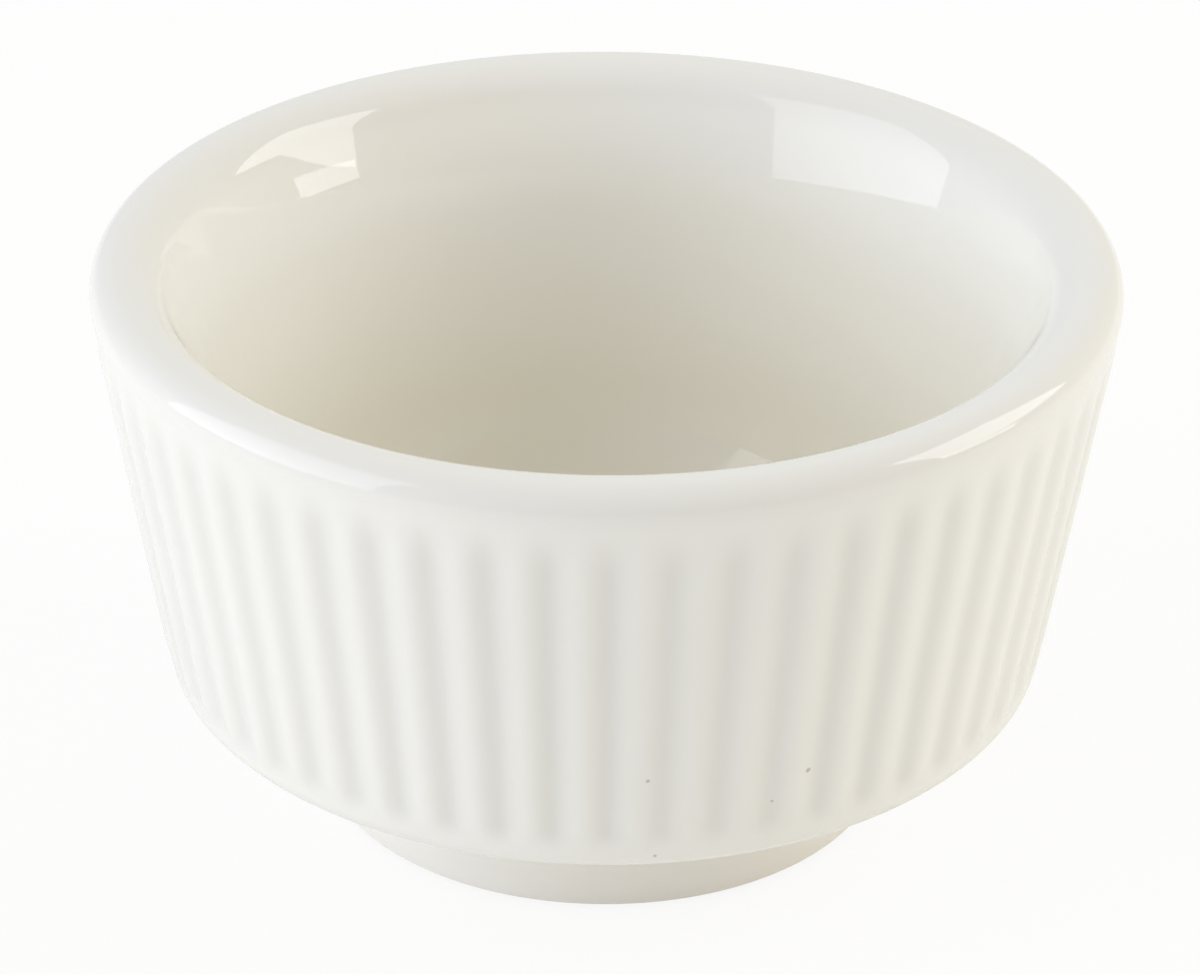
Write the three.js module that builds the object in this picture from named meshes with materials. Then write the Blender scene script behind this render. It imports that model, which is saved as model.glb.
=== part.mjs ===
// Ribbed dip bowl: a thick-walled ceramic body with a rounded lip, upright ribs round the wall and a
// turned foot ring, covered by a glaze that stops short of the ring it stands on.
//
// Frame: millimetres, +Z up, origin on the table at the middle of the foot ring.
// Outlines are half sections in (radius, height), drawn from the middle of the floor, out over the lip,
// down the outside and back under the foot, so that the clay always lies on the right of the line.

import * as THREE from "three";
import { mergeVertices } from "three/addons/utils/BufferGeometryUtils.js";

// Driving dimensions of the finished, glazed bowl
const rimDiameter = 80;
const bowlHeight = 46;
const wallBaseDiameter = 69.6;
const wallBaseHeight = 11.8;
const footTopDiameter = 46.2;
const footDiameter = 45.2;
const footHeight = 6;

// Walls, measured level across the clay and the glaze
const lipWidth = 4.7;
const wallAtFlare = 7.3;
const wallAtBase = 7;
const floorThickness = 5.5;
const flareDepth = 7.6;

// Rounded corners
const lipOuterFillet = 2.2;
const lipInnerFillet = 3.6;
const flareFillet = 24;
const floorFillet = 13;
const wallBaseFillet = 2;
const footTopFillet = 1.6;
const footEdgeFillet = 0.4;
const recessFillet = 1.2;

// Foot ring and the recess inside it
const footRingWidth = 3.6;
const recessDepth = 3;

// Ribs on the outer wall: they rise out of the wall above its lower corner and die away under the lip
const ribCount = 56;
const ribDepth = 0.28;
const ribStart = 1.9;
const ribRunIn = 1.3;
const ribRunOut = 4;
const ribGapToRim = 3.1;

// Glaze: its coat, the extra that pools between the ribs, and the bare edge wiped clean round the foot
const glazeThickness = 0.4;
const glazePool = 0.1;
const bareFootEdge = 0.5;

// Fineness of the facets: the turn of one facet along a rounded corner, and round the axis the facets on
// a rib and the width above which a plain facet is halved, for the finished surface and for the clay
const arcFacet = THREE.MathUtils.degToRad(30);
const finishedFacetsOnRib = 4;
const finishedFacetWidth = 2.8;
const clayFacetsOnRib = 2;
const clayFacetWidth = 5;

// Sizes that follow from these
const rimRadius = rimDiameter / 2;
const wallBaseRadius = wallBaseDiameter / 2;
const footTopRadius = footTopDiameter / 2;
const footRadius = footDiameter / 2;
const floorHeight = recessDepth + floorThickness;
const flareHeight = bowlHeight - flareDepth;
const recessRadius = footRadius - footRingWidth;
const finishedFacets = { onRib: finishedFacetsOnRib, widest: finishedFacetWidth };
const clayFacets = { onRib: clayFacetsOnRib, widest: clayFacetWidth };

// Lean of the wall: its line runs from the lower corner to touch the round of the lip, so that the lip is
// as wide as the rim diameter.
const toLipRound = new THREE.Vector2(
  rimRadius - lipOuterFillet - wallBaseRadius,
  bowlHeight - lipOuterFillet - wallBaseHeight,
);
const wallLean =
  Math.atan2(toLipRound.x, toLipRound.y) + Math.asin(lipOuterFillet / toLipRound.length());

// Radius on the straight line of the wall at a height.
function wallRadius(z) {
  return wallBaseRadius + (z - wallBaseHeight) * Math.tan(wallLean);
}

// Radius on the outside of the foot ring at a height.
function footWallRadius(z) {
  return THREE.MathUtils.lerp(footRadius, footTopRadius, z / footHeight);
}

function corner(r, z, fillet = 0) {
  return { at: new THREE.Vector2(r, z), fillet };
}

// Unit vector square to the line from a to b, on its right, where the clay is.
function rightOf(a, b) {
  const along = b.clone().sub(a).normalize();
  return new THREE.Vector2(along.y, -along.x);
}

// The same corners moved into the clay by a distance, or out of it if the distance is negative. The ends
// stay at their own height on an upright line and at their own radius on a level one.
function inset(corners, distance) {
  return corners.map(({ at, fillet }, i) => {
    const before = corners[i - 1]?.at;
    const after = corners[i + 1]?.at;
    if (!before || !after) {
      const side = before ? rightOf(before, at) : rightOf(at, after);
      const upright = Math.abs(side.x) > Math.abs(side.y);
      const shift = upright
        ? new THREE.Vector2(distance / side.x, 0)
        : new THREE.Vector2(0, distance / side.y);
      return { at: at.clone().add(shift), fillet };
    }
    const first = rightOf(before, at);
    const second = rightOf(at, after);
    const shift = first.clone().add(second);
    shift.multiplyScalar(distance / (1 + first.dot(second)));
    const turnsRight = first.cross(second) < 0;
    return {
      at: at.clone().add(shift),
      fillet: turnsRight ? fillet - distance : fillet + distance,
    };
  });
}

// Points of an outline whose corners are rounded to their fillets.
function rounded(corners) {
  return corners.flatMap(({ at, fillet }, i) => {
    if (i === 0 || i === corners.length - 1 || fillet === 0) return [at.clone()];
    const back = corners[i - 1].at.clone().sub(at).normalize();
    const ahead = corners[i + 1].at.clone().sub(at).normalize();
    const halfAngle = Math.acos(back.dot(ahead)) / 2;
    const middle = back.clone().add(ahead).normalize();
    const centre = at.clone().addScaledVector(middle, fillet / Math.sin(halfAngle));
    const start = at.clone().addScaledVector(back, fillet / Math.tan(halfAngle));
    const turn = Math.PI - 2 * halfAngle;
    const steps = Math.max(1, Math.round(turn / arcFacet));
    const step = (-Math.sign(back.cross(ahead)) * turn) / steps;
    return Array.from({ length: steps + 1 }, (_, k) =>
      start.clone().rotateAround(centre, step * k),
    );
  });
}

// Outline points as rows of a surface of revolution.
function plainRows(points) {
  return points.map((p) => ({ r: p.x, z: p.y }));
}

// Rows of the ribbed stretch of wall, from the lip down. The crests stand out of the wall's line by half
// the depth and the grooves lie behind it by as much.
function ribRows(depth, behindWall) {
  const top = bowlHeight - ribGapToRim;
  const bottom = wallBaseHeight + ribStart;
  const heights = [
    [top, 0],
    [top - ribRunOut, 1],
    [bottom + ribRunIn, 1],
    [bottom, 0],
  ];
  return heights.map(([z, share]) => ({
    r: wallRadius(z) - behindWall,
    z,
    ribDepth: depth * share,
  }));
}

// How far a rib stands out of its groove at an angle, from 0 in the groove to 1 on the crest: a round
// reed, with a crest on each axis of the frame.
function reed(angle) {
  const turn = (angle * ribCount) / (2 * Math.PI);
  const offCrest = 2 * Math.abs(turn - Math.round(turn));
  return 1 - offCrest ** 2;
}

// One row turned round the axis: a circle of points, or one point on the axis.
function ring({ r, z, ribDepth: depth }, facets) {
  if (r === 0) return [new THREE.Vector3(0, 0, z)];
  const halved = (2 * Math.PI * r) / ribCount > facets.widest;
  const perRib = depth === undefined ? 1 + halved : facets.onRib;
  const count = ribCount * perRib;
  return Array.from({ length: count }, (_, i) => {
    const angle = (2 * Math.PI * i) / count;
    const radius = depth === undefined ? r : r + depth * (reed(angle) - 0.5);
    return new THREE.Vector3(radius * Math.cos(angle), radius * Math.sin(angle), z);
  });
}

// Triangles between one ring and the next, stepping along whichever ring has the nearer next point, so
// that rings of different fineness meet without a gap.
function strip(near, far) {
  const triangles = [];
  let i = 0;
  let j = 0;
  const nearSteps = near.length === 1 ? 0 : near.length;
  const farSteps = far.length === 1 ? 0 : far.length;
  while (i < nearSteps || j < farSteps) {
    const nearNext = i < nearSteps ? (i + 1) / nearSteps : Infinity;
    const farNext = j < farSteps ? (j + 1) / farSteps : Infinity;
    const a = near[i % near.length];
    const b = far[j % far.length];
    if (farNext <= nearNext) {
      triangles.push([a, b, far[(j + 1) % far.length]]);
      j++;
    } else {
      triangles.push([a, b, near[(i + 1) % near.length]]);
      i++;
    }
  }
  return triangles;
}

// Surface over a run of rows.
function loft(rows, facets) {
  const rings = rows.map((row) => ring(row, facets));
  return rings.slice(1).flatMap((far, i) => strip(rings[i], far));
}

// The same surface facing the other way.
function flipped(triangles) {
  return triangles.map(([a, b, c]) => [a, c, b]);
}

function solid(name, triangles, material) {
  const geometry = new THREE.BufferGeometry().setFromPoints(triangles.flat());
  const welded = mergeVertices(geometry);
  welded.computeVertexNormals();
  const mesh = new THREE.Mesh(welded, material);
  mesh.name = name;
  return mesh;
}

const biscuitFinish = new THREE.MeshStandardMaterial({
  color: 0xe9e2d2,
  roughness: 0.85,
  metalness: 0,
});
const glazeFinish = new THREE.MeshStandardMaterial({
  color: 0xf1eee4,
  roughness: 0.12,
  metalness: 0,
});

// The finished surface inside and over the lip, and outside from the wall's lower corner to the glaze line
const wallTop = corner(wallRadius(bowlHeight), bowlHeight, lipOuterFillet);
const wallBase = corner(wallBaseRadius, wallBaseHeight, wallBaseFillet);
const glazedCorners = [
  corner(0, floorHeight),
  corner(wallBaseRadius - wallAtBase, floorHeight, floorFillet),
  corner(wallRadius(flareHeight) - wallAtFlare, flareHeight, flareFillet),
  corner(rimRadius - lipWidth, bowlHeight, lipInnerFillet),
  wallTop,
  wallBase,
  corner(footTopRadius, footHeight, footTopFillet),
  corner(footWallRadius(bareFootEdge), bareFootEdge),
];

// Rows of that surface, with the ribs between the lip and the wall's lower corner.
function coatRows(corners, depth, behindWall) {
  const points = rounded(corners);
  const base = corners[glazedCorners.indexOf(wallBase)].at;
  const lip = corners[glazedCorners.indexOf(wallTop)].at;
  const middle = (base.y + lip.y) / 2;
  const wallStart = points.findLastIndex((p) => p.x > base.x && p.y > middle) + 1;
  return [
    ...plainRows(points.slice(0, wallStart)),
    ...ribRows(depth, behindWall),
    ...plainRows(points.slice(wallStart)),
  ];
}

const coatAcross = glazeThickness / Math.cos(wallLean);
const finishedRows = coatRows(glazedCorners, ribDepth, 0);
const clayCorners = inset(glazedCorners, glazeThickness);
const clayRows = coatRows(clayCorners, ribDepth + glazePool, coatAcross);
const glazeLine = strip(ring(finishedRows.at(-1), finishedFacets), ring(clayRows.at(-1), clayFacets));

// The foot ring's bare edge, and the recess under the floor
const clayFootRadius = footWallRadius(0) - glazeThickness;
const clayRecessHeight = recessDepth + glazeThickness;
const recessCorners = [
  corner(recessRadius, bareFootEdge),
  corner(recessRadius, clayRecessHeight, recessFillet),
  corner(0, clayRecessHeight),
];
const bareCorners = [
  clayCorners.at(-1),
  corner(clayFootRadius, 0, footEdgeFillet),
  corner(recessRadius, 0, footEdgeFillet),
  recessCorners[0],
];
const recessRows = plainRows(rounded(recessCorners));
const bareRows = plainRows(rounded(bareCorners));
const underGlazeRows = plainRows(rounded(inset(recessCorners, -glazeThickness)));

const bowl = new THREE.Group();
bowl.add(
  solid(
    "ceramic_body",
    [clayRows, bareRows, recessRows].flatMap((rows) => loft(rows, clayFacets)),
    biscuitFinish,
  ),
  solid(
    "glaze_coat",
    [
      ...loft(finishedRows, finishedFacets),
      ...glazeLine,
      ...flipped(loft(clayRows, clayFacets)),
    ],
    glazeFinish,
  ),
  solid(
    "base_glaze",
    [
      ...loft([recessRows[0], ...underGlazeRows], clayFacets),
      ...flipped(loft(recessRows, clayFacets)),
    ],
    glazeFinish,
  ),
);

export default bowl;
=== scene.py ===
# %% [markdown]
# # A ribbed dip bowl
#
# A small ceramic bowl for sauces: a thick round lip, a wall that flares a little and carries fine upright
# ribs, and a narrow foot ring. The clay is one pressing, and a glassy glaze covers all of it but the ring
# that it stands on. Lengths are in metres, the table is at Z = 0 and the bowl's axis is Z.

from collections import namedtuple
from math import asin, atan2, cos, degrees, hypot, pi, radians, sin, tan

import bmesh
import bpy
from mathutils import Matrix, Vector


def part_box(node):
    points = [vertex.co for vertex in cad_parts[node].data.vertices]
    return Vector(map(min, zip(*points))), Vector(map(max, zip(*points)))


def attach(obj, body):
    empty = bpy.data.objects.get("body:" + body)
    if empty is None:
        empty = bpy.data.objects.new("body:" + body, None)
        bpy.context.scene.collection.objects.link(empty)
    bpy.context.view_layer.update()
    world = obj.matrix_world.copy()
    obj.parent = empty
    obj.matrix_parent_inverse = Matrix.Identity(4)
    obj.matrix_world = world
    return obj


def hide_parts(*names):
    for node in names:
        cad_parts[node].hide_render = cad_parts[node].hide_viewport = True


MM = 0.001
MILLILITRE = 1e-6
SAME_PLACE = 1e-7

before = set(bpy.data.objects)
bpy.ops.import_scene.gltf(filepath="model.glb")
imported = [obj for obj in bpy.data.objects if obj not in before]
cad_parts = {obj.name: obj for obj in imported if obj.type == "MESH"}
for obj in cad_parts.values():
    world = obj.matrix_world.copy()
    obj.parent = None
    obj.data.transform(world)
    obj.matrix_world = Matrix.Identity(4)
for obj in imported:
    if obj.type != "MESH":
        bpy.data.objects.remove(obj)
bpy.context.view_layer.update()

# %% [markdown]
# ## The view
#
# The bowl is seen through a long lens from a little above the table, so the near and the far side of the
# lip look almost the same size. A camera in Blender looks along its own -Z with +Y up, and its matrix has
# the view's right, up and back directions as columns. Building those three directions is easier to trust
# than guessing three angles. The view is turned a little round the bowl, so that the ribs stand as they do
# in the picture.

# %% Camera
IMAGE_WIDTH = 1200
FOCAL_LENGTH_IN_PIXELS = 4875
SENSOR_WIDTH_MM = 36
VIEW_DISTANCE = 400 * MM
VIEW_ELEVATION = radians(31.71)
VIEW_AZIMUTH = radians(2.36)
VIEW_ROLL = radians(0.37)
VIEW_AIM = Vector((-0.41, 0, 25.03)) * MM

round_the_bowl = Matrix.Rotation(VIEW_AZIMUTH, 3, "Z")


def from_view(azimuth, elevation=0.0):
    """A direction out from the bowl, with its azimuth measured to the right from the side that is seen."""
    level = cos(elevation)
    return round_the_bowl @ Vector((level * sin(azimuth), -level * cos(azimuth), sin(elevation)))


def photo_camera():
    place = from_view(0, VIEW_ELEVATION) * VIEW_DISTANCE
    back = (place - round_the_bowl @ VIEW_AIM).normalized()
    right = Vector((0, 0, 1)).cross(back).normalized()
    level = Matrix((right, back.cross(right), back)).transposed()
    rolled = level @ Matrix.Rotation(VIEW_ROLL, 3, "Z")

    lens = bpy.data.cameras.new("photo_view")
    lens.sensor_width = SENSOR_WIDTH_MM
    lens.lens = FOCAL_LENGTH_IN_PIXELS * SENSOR_WIDTH_MM / IMAGE_WIDTH
    lens.clip_start = 10 * MM
    camera = bpy.data.objects.new("photo_view", lens)
    camera.matrix_world = Matrix.Translation(place) @ rolled.to_4x4()
    bpy.context.scene.collection.objects.link(camera)
    bpy.context.scene.camera = camera
    return camera


camera = photo_camera()
print(f"lens {camera.data.lens:.0f} mm, {camera.location.length / MM:.0f} mm from the middle of the foot")

# %% [markdown]
# ## Sizes of the bowl
#
# The height and the glaze line are read from the frame, so the bowl drawn here stands in the same box as
# the solids. The rest are the potter's sizes: where the wall turns, how thick it is, and how round each
# corner is.

# %% Sizes
glaze_low, glaze_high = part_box("glaze_coat")
TOP = glaze_high[2]
GLAZE_LINE = glaze_low[2]
GLAZE = 0.4 * MM

RIM_RADIUS = 40.0 * MM
LIP_WIDTH = 4.7 * MM
LIP_OUTER_FILLET = 2.2 * MM
LIP_INNER_FILLET = 3.6 * MM

WALL_BASE_RADIUS = 34.8 * MM
WALL_BASE_HEIGHT = 11.8 * MM
WALL_BASE_FILLET = 2.0 * MM
WALL_AT_BASE = 7.0 * MM
WALL_AT_FLARE = 7.3 * MM
FLARE_DEPTH = 7.6 * MM
FLARE_FILLET = 24.0 * MM

FLOOR_HEIGHT = 8.5 * MM
FLOOR_FILLET = 13.0 * MM
FOOT_HEIGHT = 6.0 * MM
FOOT_TOP_RADIUS = 23.1 * MM
FOOT_TOP_FILLET = 1.6 * MM
FOOT_RADIUS = 22.6 * MM
FOOT_EDGE_FILLET = 0.4 * MM
FOOT_RING_WIDTH = 3.6 * MM
RECESS_DEPTH = 3.0 * MM
RECESS_FILLET = 1.2 * MM

print(f"{2 * RIM_RADIUS / MM:.0f} mm across the rim, {2 * FOOT_RADIUS / MM:.1f} mm across the foot")

# %% [markdown]
# The outer wall is a straight line in section. It starts at the wall's lower corner and just touches the
# round of the lip, so its lean follows from the two radii and needs no number of its own.

# %% The wall's lean
to_lip_round = Vector((
    RIM_RADIUS - LIP_OUTER_FILLET - WALL_BASE_RADIUS,
    TOP - LIP_OUTER_FILLET - WALL_BASE_HEIGHT,
))
WALL_LEAN = atan2(*to_lip_round) + asin(LIP_OUTER_FILLET / to_lip_round.length)


def wall_radius(z):
    return WALL_BASE_RADIUS + (z - WALL_BASE_HEIGHT) * tan(WALL_LEAN)


UNDERSIDE_SLOPE = (WALL_BASE_HEIGHT - FOOT_HEIGHT) / (WALL_BASE_RADIUS - FOOT_TOP_RADIUS)


def foot_radius(z):
    return FOOT_RADIUS + (FOOT_TOP_RADIUS - FOOT_RADIUS) * z / FOOT_HEIGHT


print(f"{TOP / MM:.1f} mm high, the wall leans {degrees(WALL_LEAN):.1f} degrees")

# %% [markdown]
# ## A pen for half sections
#
# A bowl is turned from its half section, so the section is drawn first, as a chain of points in the XZ
# plane. The chain grows by two operators: extruding the last point and moving the copy draws a straight
# line, and spinning it about a centre draws an arc. A rounded corner is a line up to its arc and then the
# arc. Typing the points by hand would give the same chain, with far more numbers to get wrong.

# %% The pen
Corner = namedtuple("Corner", "at fillet steps", defaults=(0, 1))


class Pen:
    def __init__(self, start):
        self.bm = bmesh.new()
        self.tip = self.bm.verts.new((start.at.x, 0, start.at.y))

    def place(self):
        return Vector((self.tip.co.x, self.tip.co.z))

    def line(self, to):
        if (self.place() - to).length < SAME_PLACE:
            return
        self.tip = bmesh.ops.extrude_vert_indiv(self.bm, verts=[self.tip])["verts"][0]
        self.tip.co = (to.x, 0, to.y)

    def arc(self, centre, turn, steps):
        """A positive turn is anticlockwise, with X to the right and Z up."""
        spun = bmesh.ops.spin(
            self.bm, geom=[self.tip], cent=(centre.x, 0, centre.y), axis=(0, -1, 0),
            angle=turn, steps=steps)
        self.tip = next(g for g in spun["geom_last"] if isinstance(g, bmesh.types.BMVert))

    def round(self, corner, after):
        back = (self.place() - corner.at).normalized()
        ahead = (after.at - corner.at).normalized()
        half = back.angle(ahead) / 2
        centre = corner.at + (back + ahead).normalized() * corner.fillet / sin(half)
        turn = (pi - 2 * half) * (1 if back.cross(ahead) < 0 else -1)
        self.line(corner.at + back * corner.fillet / tan(half))
        self.arc(centre, turn, corner.steps)

    def follow(self, corners):
        for corner, after in zip(corners, corners[1:] + corners[-1:]):
            if corner.fillet:
                self.round(corner, after)
            else:
                self.line(corner.at)


print("the pen draws lines, arcs and rounded corners")

# %% [markdown]
# ## Parallel outlines
#
# The glaze is a skin of one thickness, so its back has the outline of its face, moved into the clay. Each
# corner moves along the sum of its two sides' normals. A fillet that bulges gets smaller by the distance,
# and a hollow one gets larger. The clay always lies on the right of the line, as it is drawn.


# %% Moving an outline into the clay
def right_of(a, b):
    along = (b.at - a.at).normalized()
    return Vector((along.y, -along.x))


def sunk(corners, depth):
    moved = []
    for i, corner in enumerate(corners):
        near = corners[max(i - 1, 0):i + 2]
        normals = [right_of(a, b) for a, b in zip(near, near[1:])]
        first, last = normals[0], normals[-1]
        shift = (first + last) * depth / (1 + first.dot(last))
        grows = depth if first.cross(last) > 0 else -depth
        moved.append(Corner(corner.at + shift, corner.fillet and corner.fillet + grows, corner.steps))
    return moved


print("outlines can be sunk by the glaze's thickness")

# %% [markdown]
# ## Ribs
#
# Each rib is a low round reed with a soft groove on either side. The ribs rise out of a smooth band above
# the wall's lower corner and die away under the lip. They could be cut with 56 booleans, but a wall that is
# spun finely only needs its points moved in or out by the height of the reed, and its faces stay in clean
# rows.

# %% The reed's section
RIB_COUNT = 56
STEPS_PER_RIB = 12
RIB_DEPTH = 0.28 * MM
RIB_BOTTOM = 12.9 * MM
RIB_FULL_LOW = 15.2 * MM
RIB_FULL_HIGH = 38.9 * MM
RIB_TOP = 43.4 * MM
GROOVE_SOFTNESS = 0.5


def smooth_step(low, high, x):
    t = min(max((x - low) / (high - low), 0), 1)
    return t * t * (3 - 2 * t)


def reed(angle):
    """0 in the groove and 1 on the crest, with a crest on the X axis."""
    turn = angle * RIB_COUNT / (2 * pi)
    from_groove = 1 - 2 * abs(turn - round(turn))
    soft = hypot(from_groove, GROOVE_SOFTNESS) - GROOVE_SOFTNESS
    soft /= hypot(1, GROOVE_SOFTNESS) - GROOVE_SOFTNESS
    return soft * (2 - soft)


def rib_share(z):
    """How much of its depth a rib has at a height."""
    return smooth_step(RIB_BOTTOM, RIB_FULL_LOW, z) * (1 - smooth_step(RIB_FULL_HIGH, RIB_TOP, z))


def rib_rows(fade_rows, plain_rows):
    """Heights down the wall, close together where the ribs fade."""
    marks = [(RIB_TOP, RIB_FULL_HIGH, fade_rows), (RIB_FULL_HIGH, RIB_FULL_LOW, plain_rows),
             (RIB_FULL_LOW, RIB_BOTTOM, fade_rows)]
    rows = [high + (low - high) * k / count for high, low, count in marks for k in range(count)]
    return rows + [RIB_BOTTOM]


print("reed from groove to crest:", [round(reed(pi / RIB_COUNT * (1 - k / 6)), 2) for k in range(7)])

# %% [markdown]
# ## The coat's outline
#
# The outline of the finished bowl runs from the middle of the floor, up the inside, over the lip, down the
# ribbed wall, under it and down the foot to the glaze line. The hidden back of the glaze lies on the clay
# and can do with fewer steps in its arcs.


# %% Outlines of the coat and of the recess under the foot
def coat_outline(fine=True):
    flare = TOP - FLARE_DEPTH
    rows = rib_rows(fade_rows=8, plain_rows=3) if fine else rib_rows(fade_rows=1, plain_rows=1)

    def corner(r, z, fillet, steps):
        return Corner(Vector((r, z)), fillet, steps if fine else max(2, steps // 3))

    return [
        Corner(Vector((0, FLOOR_HEIGHT))),
        corner(WALL_BASE_RADIUS - WALL_AT_BASE, FLOOR_HEIGHT, FLOOR_FILLET, 14),
        corner(wall_radius(flare) - WALL_AT_FLARE, flare, FLARE_FILLET, 9),
        corner(RIM_RADIUS - LIP_WIDTH, TOP, LIP_INNER_FILLET, 9),
        corner(wall_radius(TOP), TOP, LIP_OUTER_FILLET, 12),
        *(Corner(Vector((wall_radius(z), z))) for z in rows),
        corner(WALL_BASE_RADIUS, WALL_BASE_HEIGHT, WALL_BASE_FILLET, 8),
        corner(FOOT_TOP_RADIUS, FOOT_HEIGHT, FOOT_TOP_FILLET, 8),
        Corner(Vector((foot_radius(GLAZE_LINE), GLAZE_LINE))),
    ]


RECESS_RADIUS = FOOT_RADIUS - FOOT_RING_WIDTH


def recess_outline():
    """The clay of the recess, from the edge of the foot ring to the middle."""
    ceiling = RECESS_DEPTH + GLAZE
    return [
        Corner(Vector((RECESS_RADIUS, GLAZE_LINE))),
        Corner(Vector((RECESS_RADIUS, ceiling)), RECESS_FILLET, 6),
        Corner(Vector((0, ceiling))),
    ]


for name, outline in (("coat", coat_outline()), ("recess", recess_outline())):
    print(name, "turns at", [f"{c.at.x / MM:.1f},{c.at.y / MM:.1f}" for c in outline if c.fillet])

# %% [markdown]
# ## From a section to a piece
#
# Spinning the section once round with hundreds of steps works, but the operator gets slow as the mesh
# grows. So the section is spun through one rib only, the rib is shaped, and the same operator then copies
# that slice round the axis. The slices meet on equal points, which are merged, and the normals are made to
# face out.


# %% Turning
def spun_slice(pen):
    """The section spun through one rib, with the rib's crest on the X axis."""
    bm = pen.bm
    pitch = 2 * pi / RIB_COUNT
    bmesh.ops.rotate(bm, verts=bm.verts[:], cent=(0, 0, 0), matrix=Matrix.Rotation(-pitch / 2, 3, "Z"))
    bmesh.ops.spin(
        bm, geom=bm.verts[:] + bm.edges[:], cent=(0, 0, 0), axis=(0, 0, 1),
        angle=pitch, steps=STEPS_PER_RIB)
    return bm


def press_rib(bm):
    """Moves the points of the outer wall out to the crest and in to the grooves."""
    pressed = 0
    for point in bm.verts:
        radius = point.co.xy.length
        share = rib_share(point.co.z)
        if share > 0 and radius > wall_radius(point.co.z) - 2 * GLAZE:
            proud = RIB_DEPTH * share * (reed(atan2(point.co.y, point.co.x)) - 0.5)
            point.co.xy *= (radius + proud) / radius
            pressed += 1
    return pressed


def all_round(bm):
    bmesh.ops.spin(
        bm, geom=bm.verts[:] + bm.edges[:] + bm.faces[:], cent=(0, 0, 0), axis=(0, 0, 1),
        angle=2 * pi * (RIB_COUNT - 1) / RIB_COUNT, steps=RIB_COUNT - 1, use_duplicate=True)
    bmesh.ops.remove_doubles(bm, verts=bm.verts[:], dist=0.001 * MM)
    bmesh.ops.recalc_face_normals(bm, faces=bm.faces[:])


def piece_from(bm, name, material, stands_for):
    for face in bm.faces:
        face.smooth = True
    loose = sum(not edge.is_manifold for edge in bm.edges)
    volume = bm.calc_volume(signed=True)
    mesh = bpy.data.meshes.new(name)
    bm.to_mesh(mesh)
    bm.free()
    mesh.materials.append(material)
    piece = bpy.data.objects.new(name, mesh)
    bpy.context.scene.collection.objects.link(piece)
    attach(piece, "root")
    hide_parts(stands_for)
    print(f"{name}: {len(mesh.polygons)} faces, {loose} loose edges, {volume / MILLILITRE:.2f} ml")
    return piece


print(f"a slice is {STEPS_PER_RIB} steps wide, {RIB_COUNT} slices go round")

# %% [markdown]
# ## Shader maths
#
# A material is a graph of nodes, but a formula is easier to read as a formula. This class wraps one output
# of a node. Its operators add Math nodes, so that `1 - mask * 0.5` builds the nodes it describes, and its
# `node` method adds any other node from the node's type, its settings and what its sockets get. A Shade
# with no output yet is where a new graph starts. The Mix node keeps its colours in sockets 6 and 7 and
# gives the mixed colour in output 2, after those for numbers and vectors, which have the same names.


# %% Sockets that can be added and multiplied
class Shade:
    def __init__(self, tree, socket=None):
        self.tree = tree
        self.socket = socket

    def node(self, kind, settings, sockets, out=0):
        made = self.tree.nodes.new(kind)
        for name, value in settings.items():
            setattr(made, name, value)
        for name, value in sockets.items():
            if isinstance(value, Shade):
                self.tree.links.new(value.socket, made.inputs[name])
            else:
                made.inputs[name].default_value = value
        return Shade(self.tree, made.outputs[out])

    def math(self, operation, *values):
        return self.node("ShaderNodeMath", {"operation": operation}, dict(enumerate(values)))

    def __add__(self, other):
        return self.math("ADD", self, other)

    def __sub__(self, other):
        return self.math("SUBTRACT", self, other)

    def __rsub__(self, other):
        return self.math("SUBTRACT", other, self)

    def __mul__(self, other):
        return self.math("MULTIPLY", self, other)

    __radd__ = __add__
    __rmul__ = __mul__

    def step(self, low, high):
        """Rises softly from 0 at low to 1 at high, or falls where high is below low."""
        return self.node(
            "ShaderNodeMapRange", {"interpolation_type": "SMOOTHSTEP"},
            {"Value": self, "From Min": low, "From Max": high})

    def blend(self, low_colour, high_colour, mode="MIX"):
        """The first colour where this value is 0. Where it is 1, the second, or both together in mode ADD."""
        return self.node(
            "ShaderNodeMix", {"data_type": "RGBA", "blend_type": mode},
            {0: self, 6: low_colour, 7: high_colour}, out=2)

    def with_vector(self, operation, vector):
        """A number from two vectors, such as their distance or their dot product."""
        return self.node("ShaderNodeVectorMath", {"operation": operation}, {0: self, 1: vector}, out="Value")

    def noise(self, scale, detail=2.0):
        return self.node("ShaderNodeTexNoise", {}, {"Vector": self, "Scale": scale, "Detail": detail})

    def bump(self, depth):
        return self.node("ShaderNodeBump", {}, {"Height": self, "Distance": depth}, out="Normal")


print("shader maths ready")

# %% [markdown]
# ## A new material
#
# A new material already has a Principled shader wired to its output. What varies over a surface is fed into
# the shader's sockets, and most of it starts from the place on the object, in the object's own coordinates.


# %% Starting a material
def new_material(name):
    """A material, its shader and the start of its graph."""
    material = bpy.data.materials.new(name)
    material.use_nodes = True
    tree = material.node_tree
    shader = next(node for node in tree.nodes if node.type == "BSDF_PRINCIPLED")
    return material, shader, Shade(tree)


def place_on_object(graph):
    return graph.node("ShaderNodeTexCoord", {}, {}, out="Object")


def feed(shader, socket, shade):
    shade.tree.links.new(shade.socket, shader.inputs[socket])


print("materials start from a Principled shader")
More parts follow.
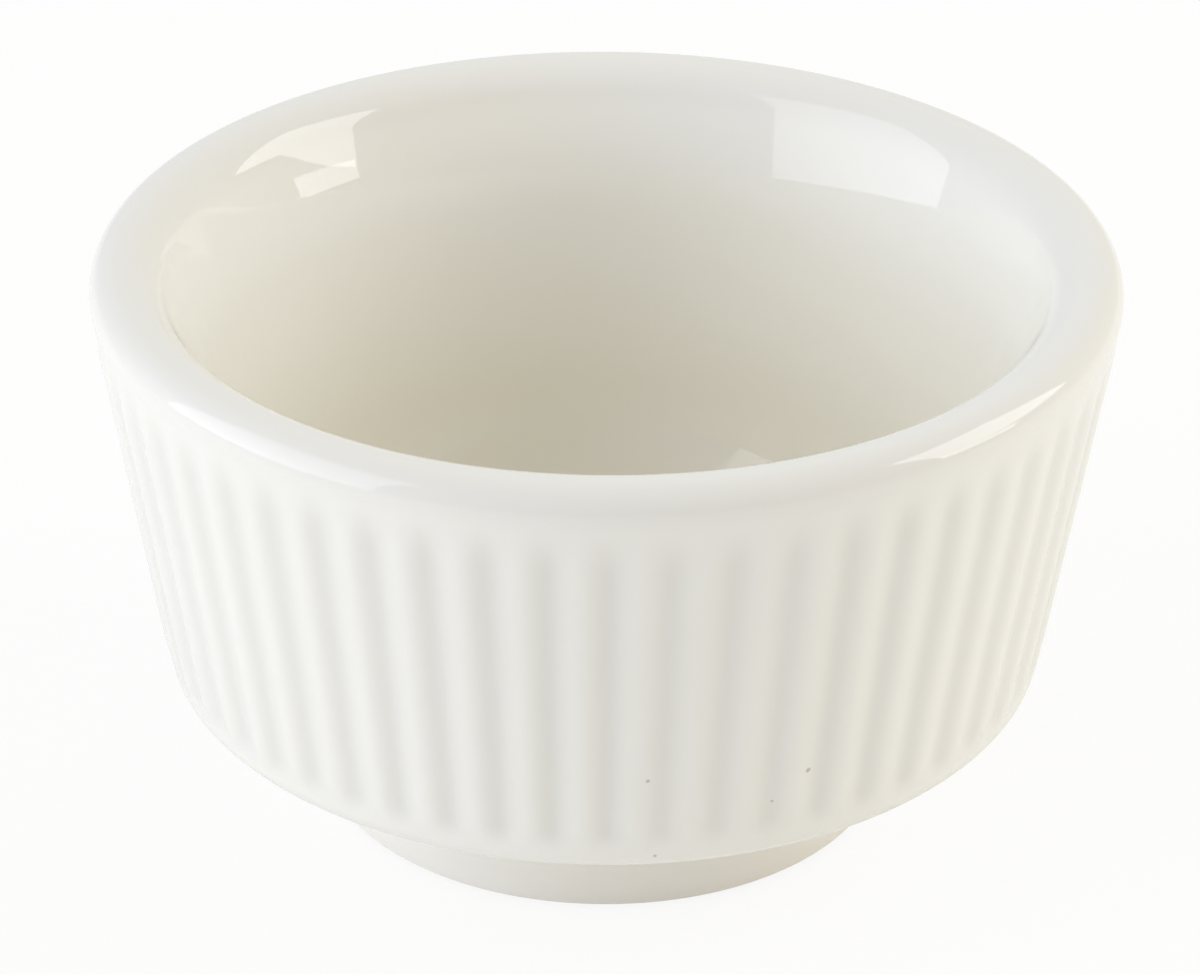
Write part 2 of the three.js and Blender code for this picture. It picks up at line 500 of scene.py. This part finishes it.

# %% [markdown]
# ## The glaze's colour
#
# The glaze is warm white, with soft clouds of a creamier tone. Inside the bowl it is painted darker and
# creamier towards the floor, as painted shade for the deep hollow. The top of the lip is painted a little
# darker, as painted shade on its upward face, and the foot is painted paler, as painted light thrown up by
# the table. The grooves between the ribs are painted a shade deeper, as painted shade. Each of these is a
# soft mask made from the place on the bowl. The function that gives the wall's radius at a height works on
# numbers, and on a Shade just as well, because the operators do the same for both.

# %% Glaze colour
THIN_GLAZE = (0.878, 0.866, 0.818, 1)
# Painted shade and clouds: inside, the glaze is painted darker and creamier towards the floor as shade in the
# hollow, and soft clouds shift it this way at random.
CREAM_AND_DEPTH_SHADE = (0.85, 0.816, 0.716, 1)
# Painted shade in the grooves between the ribs.
PAINTED_GROOVE_SHADE = (0.77, 0.76, 0.715, 1)
# Painted shade on the top of the lip.
PAINTED_LIP_SHADE = (0.825, 0.81, 0.765, 1)
# Painted light: the foot is painted paler, as if lit from the table below it.
PAINTED_FOOT_LIGHT = (0.93, 0.905, 0.84, 1)
# How strongly the painted shade in the grooves shows.
GROOVE_SHADE_SHARE = 0.6
CLOUD_TINT = 0.3

OUTER_SKIN = (2.5 * MM, 1.5 * MM)
INNER_SKIN = (2.5 * MM, 6 * MM)
CLEAR_OF_UNDERSIDE = (1 * MM, 3 * MM)
# Heights over which the lip's painted shade fades in.
LIP_SHADE_BAND = (TOP - 3.5 * MM, TOP - 0.5 * MM)
# Heights over which the foot's painted light fades in.
FOOT_LIGHT_BAND = (FOOT_HEIGHT + 2 * MM, FOOT_HEIGHT)


def glaze_colour(place, clouds):
    x, y, z = (place.node("ShaderNodeSeparateXYZ", {}, {"Vector": place}, out=axis) for axis in range(3))
    radius = x.math("SQRT", x * x + y * y)
    behind_wall = wall_radius(z) - radius
    above_underside = z - FOOT_HEIGHT - (radius - FOOT_TOP_RADIUS) * UNDERSIDE_SLOPE

    inside = behind_wall.step(*INNER_SKIN) * above_underside.step(*CLEAR_OF_UNDERSIDE)
    # Painted shade that deepens towards the floor inside the bowl, plus clouds of random tone.
    depth_shade_and_clouds = inside * z.step(TOP, FLOOR_HEIGHT) + (clouds - 0.5) * CLOUD_TINT
    coat = depth_shade_and_clouds.blend(THIN_GLAZE, CREAM_AND_DEPTH_SHADE)
    # Painted shade over the top of the lip.
    coat = z.step(*LIP_SHADE_BAND).blend(coat, PAINTED_LIP_SHADE)
    # Painted light on the foot, from the table below it.
    coat = z.step(*FOOT_LIGHT_BAND).blend(coat, PAINTED_FOOT_LIGHT)

    groove = 0.5 - x.math("COSINE", x.math("ARCTAN2", y, x) * RIB_COUNT) * 0.5
    ribbed = z.step(RIB_BOTTOM, RIB_FULL_LOW) * z.step(RIB_TOP, RIB_FULL_HIGH)
    outside = behind_wall.step(*OUTER_SKIN)
    # Painted shade in the grooves of the ribbed outer wall.
    return (groove * ribbed * outside * GROOVE_SHADE_SHARE).blend(coat, PAINTED_GROOVE_SHADE)


# The lip's painted shade fades in between these heights.
print("glaze fades over the lip from", [f"{height / MM:.1f} mm" for height in LIP_SHADE_BAND])

# %% [markdown]
# ## Specks
#
# A few grains of iron in the clay burn through the glaze as small brown specks. Each has its place on the
# outer wall and a reach, and the mask of all of them is the largest of their masks.

# %% Iron specks
IRON_SPECK = (0.30, 0.22, 0.14, 1)
SPECK_TINT = 0.5
Speck = namedtuple("Speck", "azimuth height reach")
SPECKS = [
    Speck(5.2, 20.1 * MM, 0.22 * MM),
    Speck(25.0, 19.0 * MM, 0.28 * MM),
    Speck(20.7, 16.6 * MM, 0.2 * MM),
    Speck(6.4, 12.7 * MM, 0.18 * MM),
]


def speck_mask(place):
    mask = 0.0
    for speck in SPECKS:
        spot = from_view(radians(speck.azimuth)) * wall_radius(speck.height)
        spot.z = speck.height
        near = place.with_vector("DISTANCE", spot).step(speck.reach, speck.reach / 2)
        mask = place.math("MAXIMUM", mask, near)
    return mask


print("specks:", len(SPECKS))

# %% [markdown]
# ## The glaze
#
# The surface is glassy. It fires with slow ripples and a very fine orange peel, which break up the edges of
# reflections, and it is a little less smooth where its clouds are thick.

# %% Glaze finish
CLOUD_SCALE = 60.0
RIPPLE_SCALE = 85.0
PEEL_SCALE = 480.0
PEEL_SHARE = 0.12
RIPPLE_DEPTH = 0.02 * MM
GLAZE_ROUGHNESS = 0.015
CLOUD_ROUGHNESS = 0.03
GLAZE_IOR = 1.5


def glaze_finish():
    material, shader, graph = new_material("warm_white_glaze")
    place = place_on_object(graph)
    clouds = place.noise(CLOUD_SCALE, detail=3.0)
    clean = glaze_colour(place, clouds)
    feed(shader, "Base Color", (speck_mask(place) * SPECK_TINT).blend(clean, IRON_SPECK))
    feed(shader, "Roughness", clouds * CLOUD_ROUGHNESS + GLAZE_ROUGHNESS)
    ripples = place.noise(RIPPLE_SCALE) + place.noise(PEEL_SCALE) * PEEL_SHARE
    feed(shader, "Normal", ripples.bump(RIPPLE_DEPTH))
    shader.inputs["IOR"].default_value = GLAZE_IOR
    print("glaze:", len(material.node_tree.nodes), "nodes")
    return material


GLAZE_FINISH = glaze_finish()

# %% [markdown]
# ## Biscuit
#
# The ring that stands on the kiln shelf is wiped clean of glaze, so the fired clay shows there. It is a
# pale buff biscuit, dry to the touch, with darker grains and a surface that has been rubbed smooth in
# places.

# %% Biscuit
PALE_BISCUIT = (0.78, 0.71, 0.59, 1)
DARK_BISCUIT = (0.55, 0.46, 0.34, 1)
GRAIN_SCALE = 900.0
PATCH_SCALE = 140.0
GRAIN_SHARE = 0.6
GRAIN_DEPTH = 0.06 * MM
PATCH_RELIEF = 0.5
DARK_RANGE = (0.4, 0.75)
DRY_RANGE = (0.35, 0.65)
RUBBED_ROUGHNESS = 0.65
DRY_ROUGHNESS = 0.9


def biscuit_finish():
    material, shader, graph = new_material("bare_biscuit")
    place = place_on_object(graph)
    grain = place.noise(GRAIN_SCALE, detail=6.0)
    patches = place.noise(PATCH_SCALE, detail=3.0)
    dark = (grain * GRAIN_SHARE + patches * (1 - GRAIN_SHARE)).step(*DARK_RANGE)
    feed(shader, "Base Color", dark.blend(PALE_BISCUIT, DARK_BISCUIT))
    dry = patches.step(*DRY_RANGE)
    feed(shader, "Roughness", dry * (DRY_ROUGHNESS - RUBBED_ROUGHNESS) + RUBBED_ROUGHNESS)
    feed(shader, "Normal", (grain + patches * PATCH_RELIEF).bump(GRAIN_DEPTH))
    print("biscuit:", len(material.node_tree.nodes), "nodes")
    return material


BISCUIT_FINISH = biscuit_finish()

# %% [markdown]
# ## The glaze coat
#
# One closed skin: its face from the middle of the floor to the glaze line, a round edge where the melted
# glaze drew itself up, and its back along the clay. The round edge is half a turn about the middle between
# the two.


# %% Glaze coat
def glaze_section(face, back):
    """Both run from the middle to the glaze line."""
    pen = Pen(face[0])
    pen.follow(face[1:])
    edge = back[-1].at - face[-1].at
    pen.arc(face[-1].at + edge / 2, pi if edge.x > 0 else -pi, 6)
    pen.follow(back[::-1])
    return pen


coat = spun_slice(glaze_section(coat_outline(), sunk(coat_outline(fine=False), GLAZE)))
print("points pressed for one rib:", press_rib(coat))
all_round(coat)
bowl_glaze = piece_from(coat, "bowl_glaze", GLAZE_FINISH, "glaze_coat")

# %% [markdown]
# ## The clay body
#
# The clay fills the coat, comes out at the glaze line as the bare foot ring, and goes up into the recess.


# %% Clay
def clay_section():
    coat_back = sunk(coat_outline(fine=False), GLAZE)
    foot_ring = [
        Corner(Vector((FOOT_RADIUS - GLAZE, 0)), FOOT_EDGE_FILLET, 5),
        Corner(Vector((RECESS_RADIUS, 0)), FOOT_EDGE_FILLET, 5),
    ]
    pen = Pen(coat_back[0])
    pen.follow(coat_back[1:] + foot_ring + recess_outline())
    return pen


clay = spun_slice(clay_section())
print("points pressed for one rib:", press_rib(clay))
all_round(clay)
bowl_clay = piece_from(clay, "bowl_clay", BISCUIT_FINISH, "ceramic_body")

# %% [markdown]
# ## The glaze in the recess
#
# Inside the foot ring the glaze was poured and drained, and it ends at the same wiped line.

# %% Recess glaze
recess_back = recess_outline()[::-1]
recess_face = sunk(recess_outline(), -GLAZE)[::-1]
recess = spun_slice(glaze_section(recess_face, recess_back))
all_round(recess)
recess_glaze = piece_from(recess, "recess_glaze", GLAZE_FINISH, "base_glaze")

# %% [markdown]
# ## The table's finish
#
# A white table that shows as plain white, as in a catalogue. Only what looks at it sees part of its light
# as an even white, much of it straight on and less in a reflection, so that the gloss under the bowl's wall
# stays in the shade. The light that the table throws on the bowl is its own, and so is the shadow that the
# bowl leaves.

# %% White table
TABLE_WHITE = (0.95, 0.94, 0.91, 1)
TABLE_ROUGHNESS = 0.7
TABLE_GLOSS = 0.1
WHITE = (1, 1, 1, 1)
WHITE_TO_THE_EYE = 0.88
WHITE_IN_REFLECTIONS = 0.3


def ray_is(graph, kind):
    return graph.node("ShaderNodeLightPath", {}, {}, out=f"Is {kind} Ray")


def even_white(graph):
    """The share of even white that a ray sees. Light that falls on things gets none of it."""
    reflected = graph.math("MAXIMUM", ray_is(graph, "Glossy"), ray_is(graph, "Transmission"))
    return ray_is(graph, "Camera") * WHITE_TO_THE_EYE + reflected * WHITE_IN_REFLECTIONS


def table_finish():
    material, shader, graph = new_material("white_table")
    shader.inputs["Base Color"].default_value = TABLE_WHITE
    shader.inputs["Roughness"].default_value = TABLE_ROUGHNESS
    shader.inputs["Specular IOR Level"].default_value = TABLE_GLOSS
    lit = Shade(graph.tree, shader.outputs[0])
    white = graph.node("ShaderNodeEmission", {}, {"Color": WHITE, "Strength": 1.0})
    shown = graph.node("ShaderNodeMixShader", {}, {0: even_white(graph), 1: lit, 2: white})
    output = next(node for node in graph.tree.nodes if node.type == "OUTPUT_MATERIAL")
    feed(output, "Surface", shown)
    print("table finish:", len(graph.tree.nodes), "nodes")
    return material


TABLE_FINISH = table_finish()

# %% [markdown]
# ## The table
#
# One large square, level with the foot. It is scenery and no part of the bowl.

# %% Table
TABLE_SIZE = 4.0


def make_table():
    bm = bmesh.new()
    bmesh.ops.create_grid(bm, x_segments=1, y_segments=1, size=TABLE_SIZE / 2)
    mesh = bpy.data.meshes.new("table")
    bm.to_mesh(mesh)
    bm.free()
    mesh.materials.append(TABLE_FINISH)
    table = bpy.data.objects.new("table", mesh)
    bpy.context.scene.collection.objects.link(table)
    return table


print("table made:", make_table().name)

# %% [markdown]
# ## The room
#
# The room is a dim warm colour all round, with four broad cool glows added to it: at the front on the left,
# on either side behind, and overhead. The dot product of two directions is 1 where they agree and 0 at a
# right angle, so a glow fades from its middle to its edge. The camera sees the room as plain white, as a
# backdrop.

# %% Room
ROOM_EVEN = (0.38, 0.29, 0.15, 1)
Glow = namedtuple("Glow", "azimuth elevation colour")
GLOWS = [
    Glow(-50, -10, (0.15, 0.28, 0.55, 1)),
    Glow(-130, -10, (0.25, 0.34, 0.48, 1)),
    Glow(130, -10, (0.36, 0.43, 0.50, 1)),
    Glow(0, 90, (0.26, 0.33, 0.42, 1)),
]


def make_room():
    world = bpy.data.worlds.new("room")
    world.use_nodes = True
    graph = Shade(world.node_tree)
    direction = graph.node("ShaderNodeTexCoord", {}, {}, out="Generated")
    colour = ROOM_EVEN
    for glow in GLOWS:
        middle = from_view(radians(glow.azimuth), radians(glow.elevation))
        near = direction.with_vector("DOT_PRODUCT", middle).step(0.0, 1.0)
        colour = near.blend(colour, glow.colour, "ADD")
    around = next(node for node in world.node_tree.nodes if node.type == "BACKGROUND")
    feed(around, "Color", ray_is(graph, "Camera").blend(colour, WHITE))
    bpy.context.scene.world = world
    return world


print("room:", len(make_room().node_tree.nodes), "nodes")

# %% [markdown]
# ## Lamps
#
# Two soft lights stand beside the table, and their reflections draw the bowl's form: a broad one on the
# left and a window of two panes on the right. A lamp's power is shared over its face, and a lamp that is
# narrowed to less than half a turn sends its light into a smaller cone. The lamp is set here by how bright
# its face looks, and its power follows from that.

# %% Lamps
LEFT_BRIGHTNESS = 2.25
RIGHT_BRIGHTNESS = 3.0
LEFT_COLOUR = (0.97, 0.98, 1.0)
RIGHT_COLOUR = (1.0, 1.0, 1.0)


def make_lamp(name, azimuth, elevation, distance, width, height, brightness, colour, roll=0, spread=pi):
    """An upright flat light. Its azimuth is from the view, to the right, and its elevation from the lip."""
    facing = from_view(azimuth).to_track_quat("Z", "Y").to_matrix() @ Matrix.Rotation(roll, 3, "Z")
    place = from_view(azimuth, elevation) * distance + Vector((0, 0, TOP))
    face = bpy.data.lights.new(name, "AREA")
    face.shape = "RECTANGLE"
    face.size = width
    face.size_y = height
    face.spread = spread
    face.energy = brightness * pi * width * height * (1 - spread / 2 / tan(spread / 2))
    face.color = colour
    lamp = bpy.data.objects.new(name, face)
    lamp.matrix_world = Matrix.Translation(place) @ facing.to_4x4()
    lamp.visible_camera = False
    bpy.context.scene.collection.objects.link(lamp)


make_lamp(
    "left_softbox", azimuth=radians(-74), elevation=radians(30.6), distance=0.755,
    width=0.66, height=0.83, brightness=LEFT_BRIGHTNESS, colour=LEFT_COLOUR, spread=radians(140))
make_lamp(
    "upper_pane", azimuth=radians(93), elevation=radians(32.6), distance=0.8,
    width=0.49, height=0.52, brightness=RIGHT_BRIGHTNESS, colour=RIGHT_COLOUR)
make_lamp(
    "lower_pane", azimuth=radians(83), elevation=radians(10.4), distance=0.7,
    width=0.25, height=0.08, brightness=RIGHT_BRIGHTNESS, colour=RIGHT_COLOUR, roll=radians(-13))
bpy.context.scene.view_settings.view_transform = "Standard"
print("lamps:", [o.name for o in bpy.data.objects if o.type == "LIGHT"])
